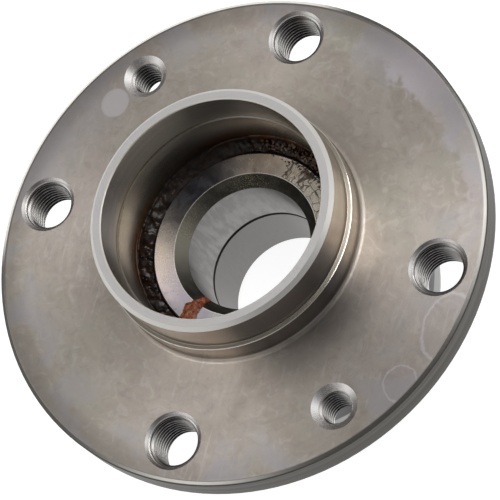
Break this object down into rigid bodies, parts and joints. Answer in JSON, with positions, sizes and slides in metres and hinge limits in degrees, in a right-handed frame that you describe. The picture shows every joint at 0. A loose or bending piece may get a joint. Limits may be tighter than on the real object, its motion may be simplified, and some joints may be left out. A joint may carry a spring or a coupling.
{
  "type": "wheel hub bearing",
  "caption": "Wheel hub bearing: a flanged outer ring with centring spigot and threaded wheel-bolt holes that turns on rows of balls around bored inner rings.",
  "frame": {"origin": "on the hub axis, in the plane of the wheel seating face of the flange", "axes": "+Z along the hub axis, outboard, the way the wheel comes off; +X through one wheel bolt hole"},
  "size_m": [0.1286, 0.1286, 0.0648],
  "materials": {
    "hub_steel": "turned and phosphated, satin",
    "ring_steel": "ground, satin",
    "ball_steel": "polished",
    "cage_plastic": "moulded polyamide",
    "clip_steel": "blued spring steel",
    "seal_steel": "pressed sheet",
    "seal_rubber": "moulded"
  },
  "bodies": {
    "axle_rings": {"inner_ring_outboard": "ring_steel", "inner_ring_inboard": "ring_steel", "ring_clip": "clip_steel", "seal_slinger": "seal_steel"},
    "hub": {"hub_flange": "hub_steel", "seal_case": "seal_steel", "seal_lip": "seal_rubber"},
    "outboard_ball_row": {"cage_outboard": "cage_plastic", "ball_outboard_01": "ball_steel", "ball_outboard_02": "ball_steel", "ball_outboard_03": "ball_steel", "ball_outboard_04": "ball_steel", "ball_outboard_05": "ball_steel", "ball_outboard_06": "ball_steel", "ball_outboard_07": "ball_steel", "ball_outboard_08": "ball_steel", "ball_outboard_09": "ball_steel", "ball_outboard_10": "ball_steel", "ball_outboard_11": "ball_steel", "ball_outboard_12": "ball_steel", "ball_outboard_13": "ball_steel", "ball_outboard_14": "ball_steel"},
    "inboard_ball_row": {"cage_inboard": "cage_plastic", "ball_inboard_01": "ball_steel", "ball_inboard_02": "ball_steel", "ball_inboard_03": "ball_steel", "ball_inboard_04": "ball_steel", "ball_inboard_05": "ball_steel", "ball_inboard_06": "ball_steel", "ball_inboard_07": "ball_steel", "ball_inboard_08": "ball_steel", "ball_inboard_09": "ball_steel", "ball_inboard_10": "ball_steel", "ball_inboard_11": "ball_steel", "ball_inboard_12": "ball_steel", "ball_inboard_13": "ball_steel", "ball_inboard_14": "ball_steel"}
  },
  "joints": [
    {"name": "hub_spin", "type": "hinge", "parent": "axle_rings", "child": "hub", "pos_m": [0, 0, -0.02655], "axis": [0, 0, 1], "continuous": true},
    {"name": "outboard_row_orbit", "type": "hinge", "parent": "axle_rings", "child": "outboard_ball_row", "pos_m": [0, 0, -0.02655], "axis": [0, 0, 1], "continuous": true},
    {"name": "inboard_row_orbit", "type": "hinge", "parent": "axle_rings", "child": "inboard_ball_row", "pos_m": [0, 0, -0.02655], "axis": [0, 0, 1], "continuous": true}
  ],
  "couplings": [
    {"joint": "outboard_row_orbit", "follows": "hub_spin", "ratio": 0.5781},
    {"joint": "inboard_row_orbit", "follows": "hub_spin", "ratio": 0.5781}
  ]
}
